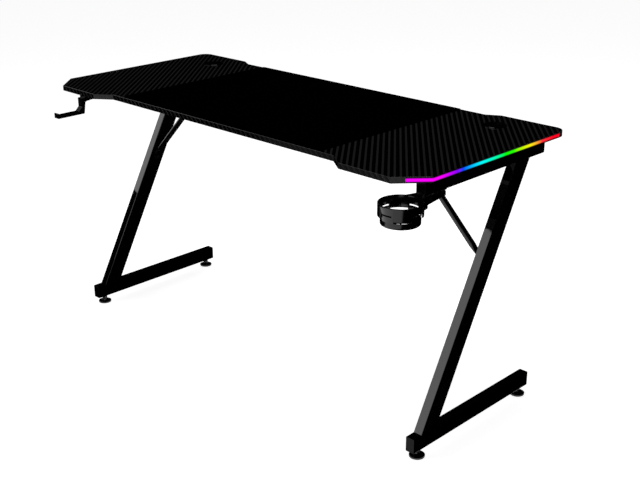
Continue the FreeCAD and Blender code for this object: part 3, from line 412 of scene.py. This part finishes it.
diffuser.feed("Base Color", diffuser.mixed(diffuser.noise(scale=300.0), grey(0.003), grey(0.006)))
diffuser.dress(*[f"{side}_light_diffuser" for side in SIDES])

circuit = Finish("light_circuit", {"Roughness": 0.4})
pad = (circuit.along(Y) % PAD_PITCH) < PAD_LENGTH
circuit.feed("Base Color", circuit.mixed(pad, grey(0.7), (0.8, 0.65, 0.25, 1.0)))
circuit.dress(*[f"{side}_light_strip" for side in SIDES])


# Cable grommets: a flanged ring pressed into each rear corner of the board, and a cap that turns in it.
# Injection-moulded black plastic with a satin face; the cap has a rounded notch for leads.

grommet = skinned("grommet_plastic", tone=0.0005, gloss=0.12, roughness=0.12, grain=1800.0, depth=1e-5)
grommet.dress(*[f"{side}_grommet_{piece}" for side in SIDES for piece in ("ring", "cap")])


# Mouse mat: knitted polyester cloth on a thin foam rubber base, cut to size and laid on the board.
# It lies flat under its own weight; its cut edge is slightly rounded.

MAT_CORNER = 0.006
MAT_EDGE_ROUND = 0.0006
KNIT = 0.0009
LOOP_HEIGHT = 0.0002


def flat_card(width, depth, middle):
    """A flat rectangle of one face, level, about a point."""
    shape = bmesh.new()
    bmesh.ops.create_grid(shape, x_segments=1, y_segments=1, size=0.5)
    bmesh.ops.scale(shape, vec=(width, depth, 1.0), verts=shape.verts)
    bmesh.ops.translate(shape, vec=middle, verts=shape.verts)
    return shape


mat_low, mat_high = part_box("mouse_mat")
mat_size = mat_high - mat_low
mat_middle = Vector(((mat_low.x + mat_high.x) / 2, (mat_low.y + mat_high.y) / 2, mat_low.z))
mat_shape = flat_card(mat_size.x, mat_size.y, mat_middle)
round_off(mat_shape, mat_shape.verts[:], MAT_CORNER, segments=6, affect="VERTICES")
raised = bmesh.ops.extrude_face_region(mat_shape, geom=mat_shape.faces[:])
lifted = [part for part in raised["geom"] if isinstance(part, bmesh.types.BMVert)]
bmesh.ops.translate(mat_shape, vec=(0, 0, mat_size.z), verts=lifted)
bmesh.ops.recalc_face_normals(mat_shape, faces=mat_shape.faces[:])
halfway = mat_low.z + mat_size.z / 2
top_rim = [edge for edge in mat_shape.edges if all(vert.co.z > halfway for vert in edge.verts)]
round_off(mat_shape, top_rim, MAT_EDGE_ROUND, segments=3)
mat = put_up(mat_shape, "mat_cloth_sheet")

cloth = Finish("mat_cloth", {"Specular IOR Level": 0.0, "Roughness": 1.0})
course = abs((cloth.along(X) % KNIT) / KNIT - 0.5)
wale = abs((cloth.along(Y) % KNIT) / KNIT - 0.5)
# The loops' height: it gives their relief, and it also paints shade into the colour.
loop_height_and_shade = 1.0 - course - wale
fuzz = cloth.noise(scale=220.0, detail=4.0)
# Base colour: painted shade, darker in the hollows between the loops, with a random fuzz of tone.
cloth.feed("Base Color", cloth.mixed(loop_height_and_shade * fuzz, grey(0.00005), grey(0.0003)))
cloth.bumped(loop_height_and_shade, LOOP_HEIGHT)
mat.data.materials.append(cloth.material)
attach(mat, "desk")
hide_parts("mouse_mat")


# Cup holder: one moulding of an open-floored cup, hoop, tabs and arm, on two spacers under a beam.
# Injection-moulded black plastic, glossy outside; the spacers are a duller plastic.

holder = skinned("holder_plastic", tone=0.0016, gloss=0.45, roughness=0.1, grain=1200.0, depth=4e-6)
holder.dress("cup_holder")
spacer = skinned("spacer_plastic", tone=0.002, gloss=0.4, roughness=0.4, grain=1500.0, depth=4e-5)
spacer.dress("cup_holder_spacers")


# Headset hook: a bent bar with a raised tip and a plate that is screwed under the left-hand beam.
# Moulded black plastic, duller than the cup holder.

hook = skinned("hook_plastic", tone=0.0010, gloss=0.15, roughness=0.2, grain=1200.0, depth=1e-5)
hook.dress("headset_hook")


# Light controller: base plate and case under the board, with the circuit, mode button and power inlet.
# Moulded plastic around a green circuit board; the inlet is a folded, plated steel shell.

TRACK_PITCH = 0.004
TRACK_WIDTH = 0.0012
case = skinned("case_plastic", tone=0.004, gloss=0.2, roughness=0.5, grain=1000.0, depth=6e-5)
case.dress("controller_base", "controller_case")
button = skinned("button_plastic", tone=0.02, gloss=0.3, roughness=0.35, grain=1500.0, depth=3e-5)
button.dress("mode_button")
plated("inlet_steel", tone=0.6, roughness=0.25, rings=TURNING_RINGS).dress("power_inlet")
mask = Finish("circuit_board", {"Roughness": 0.3})
track = (mask.along(X) % TRACK_PITCH) < TRACK_WIDTH
mask.feed("Base Color", mask.mixed(track, (0.01, 0.09, 0.04, 1.0), (0.03, 0.2, 0.08, 1.0)))
mask.dress("controller_circuit")


# Studio: a wide white floor with a faint shadow, a dim sky, a large soft lamp at the front left and
# another overhead. Cards that show only in reflections keep black faces black: felt on the floor all
# round but in front, a grey card at the left, and white paper in front and round the feet.

FLOOR_RADIUS = 60.0
floor_shape = bmesh.new()
bmesh.ops.create_circle(floor_shape, cap_ends=True, segments=64, radius=FLOOR_RADIUS)
floor = put_up(floor_shape, "floor")
white = Finish("floor_white", {
    "Base Color": grey(0.7),
    "Roughness": 1.0,
    "Specular IOR Level": 0.0,
    "Emission Strength": 1.0,
})
rays = ("Is Camera Ray", "Is Glossy Ray", "Is Transmission Ray")
seen = sum(white.node("ShaderNodeLightPath", output=ray) for ray in rays)
white.feed("Emission Color", white.mixed(seen, grey(0.0), grey(0.95)))
floor.data.materials.append(white.material)

world = bpy.data.worlds.new("studio")
world.use_nodes = True
bpy.context.scene.world = world
sky = world.node_tree
sky_ray = sky.nodes.new("ShaderNodeLightPath")
sky_tone = sky.nodes.new("ShaderNodeMix")
sky_tone.data_type = "RGBA"
sky_tone.inputs[6].default_value = grey(0.0008)
sky_tone.inputs[7].default_value = grey(1.0)
sky.links.new(sky_ray.outputs["Is Camera Ray"], sky_tone.inputs[0])
sky.links.new(sky_tone.outputs[2], sky.nodes["Background"].inputs["Color"])


def lamp(name, place, target, width, height, radiance):
    """A soft rectangular lamp that faces a point, of an even brightness over its face."""
    bulb = bpy.data.lights.new(name, "AREA")
    bulb.shape = "RECTANGLE"
    bulb.size = width
    bulb.size_y = height
    bulb.energy = radiance * math.pi * width * height
    made = bpy.data.objects.new(name, bulb)
    aim = (Vector(target) - Vector(place)).to_track_quat("-Z", "Y")
    made.matrix_world = Matrix.Translation(place) @ aim.to_matrix().to_4x4()
    bpy.context.scene.collection.objects.link(made)


lamp(
    "front_left_lamp", (-1.557, -1.93, 1.496), (0.0, -1.513, 1.496),
    width=2.7, height=1.454, radiance=2.3
)
lamp("overhead_lamp", (0.0, 0.0, 3.2), (0.0, 0.0, 0.7), width=1.6, height=1.6, radiance=7.0)


def lit_paper(name, level):
    """A paper of an even brightness."""
    return Finish(name, {
        "Base Color": grey(0.0),
        "Emission Color": grey(level),
        "Emission Strength": 1.0,
    })


def reflected_only(shape, name, finish):
    """Puts up a card of the studio that shows in reflections alone."""
    card = put_up(shape, name)
    card.data.materials.append(finish.material)
    card.visible_camera = False
    card.visible_diffuse = False
    card.visible_shadow = False


felt = Finish("black_felt", {"Base Color": grey(0.001), "Roughness": 1.0, "Specular IOR Level": 0.0})
grey_paper = lit_paper("grey_paper", 0.18)
white_paper = lit_paper("white_paper", 1.0)
CARD_LIFT = 0.001
CARDS = {
    "rear_felt": ((-5.5, -0.24), (5.5, 4.5), felt),
    "right_felt": ((0.67, -1.5), (5.5, -0.24), felt),
    "near_left_felt": ((-5.5, -1.2), (-0.6, -0.24), felt),
    "far_left_felt": ((-5.5, -2.8), (-1.7, -1.2), felt),
    "grey_card": ((-1.7, -2.8), (-0.72, -1.2), grey_paper),
}
for name, (near, far, finish) in CARDS.items():
    middle = ((near[X] + far[X]) / 2, (near[Y] + far[Y]) / 2, CARD_LIFT)
    reflected_only(flat_card(far[X] - near[X], far[Y] - near[Y], middle), name, finish)

FRONT_PAPER_WIDTH = 3.2
FRONT_PAPER_HEIGHT = 3.0
front_shape = flat_card(FRONT_PAPER_WIDTH, FRONT_PAPER_HEIGHT, (0.0, 0.0, 0.0))
upright = Matrix.Translation((0.0, -4.5, FRONT_PAPER_HEIGHT / 2)) @ Matrix.Rotation(math.pi / 2, 4, "X")
bmesh.ops.transform(front_shape, matrix=upright, verts=front_shape.verts)
reflected_only(front_shape, "front_paper", white_paper)

FOOT_PAPER_RADIUS = 0.027
FOOT_PAPER_LIFT = 0.0015
for foot in FEET:
    pad_low, pad_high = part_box(f"{foot}_foot_pad")
    middle = ((pad_low.x + pad_high.x) / 2, (pad_low.y + pad_high.y) / 2, FOOT_PAPER_LIFT)
    disc = bmesh.new()
    bmesh.ops.create_circle(disc, cap_ends=True, segments=32, radius=FOOT_PAPER_RADIUS)
    bmesh.ops.translate(disc, vec=middle, verts=disc.verts)
    reflected_only(disc, f"{foot}_paper", white_paper)


# Camera: at the photograph's viewing angle, placed from the front right-hand top corner of the board's
# box, with a very slight roll.

CAMERA_ROLL = math.radians(-0.25)
camera_data = bpy.data.cameras.new("camera")
camera_data.sensor_fit = "HORIZONTAL"
camera_data.sensor_width = 36.0
camera_data.lens = 59.41
camera = bpy.data.objects.new("camera", camera_data)
backwards = Vector((0.6527, -0.6649, 0.3631))
level = backwards.to_track_quat("Z", "Y").to_matrix().to_4x4()
roll = Matrix.Rotation(CAMERA_ROLL, 4, "Z")
camera_place = (board_high.x + 1.3497, board_low.y - 1.658, board_high.z + 0.7024)
camera.matrix_world = Matrix.Translation(camera_place) @ level @ roll
bpy.context.scene.collection.objects.link(camera)
bpy.context.scene.camera = camera
bpy.context.scene.view_settings.view_transform = "Standard"
